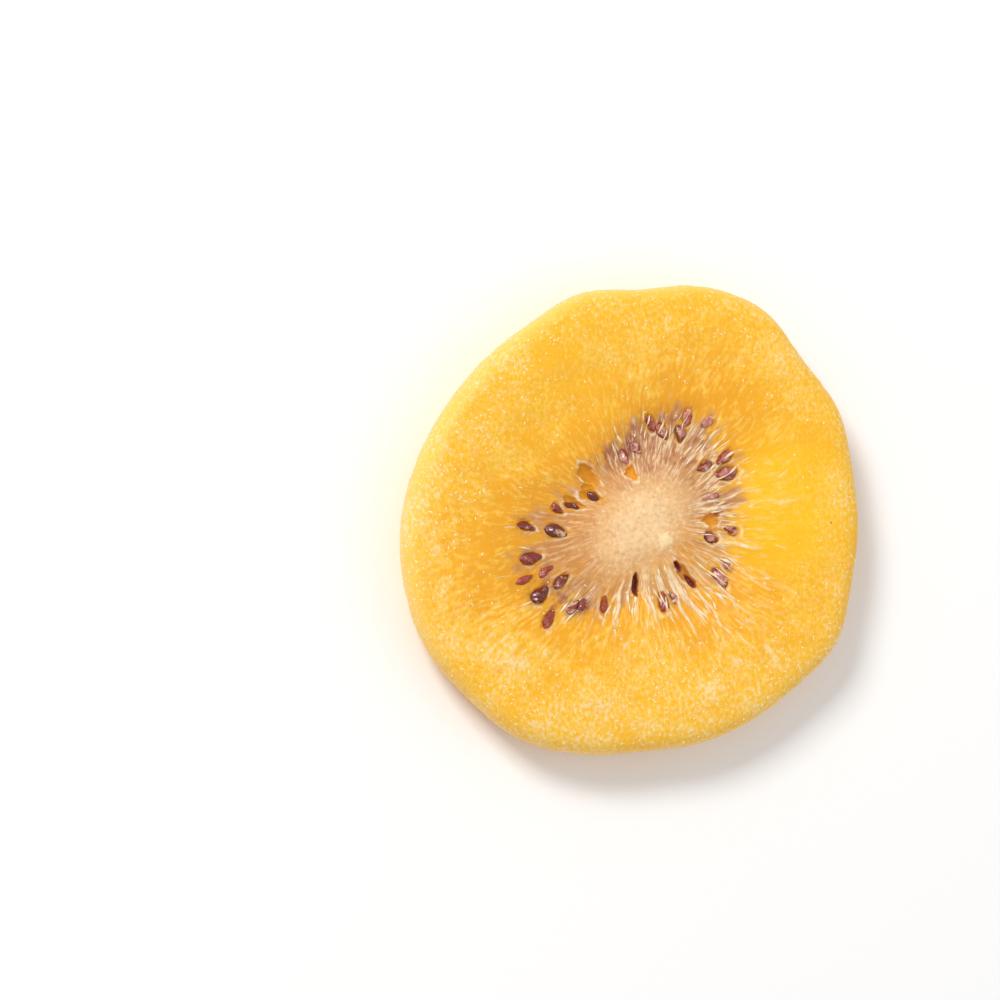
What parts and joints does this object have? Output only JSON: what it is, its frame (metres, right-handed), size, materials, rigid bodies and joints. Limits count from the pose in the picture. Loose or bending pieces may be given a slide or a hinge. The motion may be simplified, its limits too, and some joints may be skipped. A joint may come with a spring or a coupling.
{
  "type": "dried golden kiwi slice",
  "caption": "Sugared dried slice of golden kiwi fruit, cut on both faces, with a pale core, radial fibres and dark seeds in small pits",
  "frame": {"origin": "On the surface that the slice lies on, under the middle of its outline's box", "axes": "+Z out of the upper cut face, +X and +Y in the plane of the slice"},
  "size_m": [0.0494, 0.0496, 0.0072],
  "materials": {
    "dried_flesh": "satin",
    "seed_coat": "satin"
  },
  "bodies": {
    "root": {"kiwi_slice": "dried_flesh"}
  },
  "joints": []
}
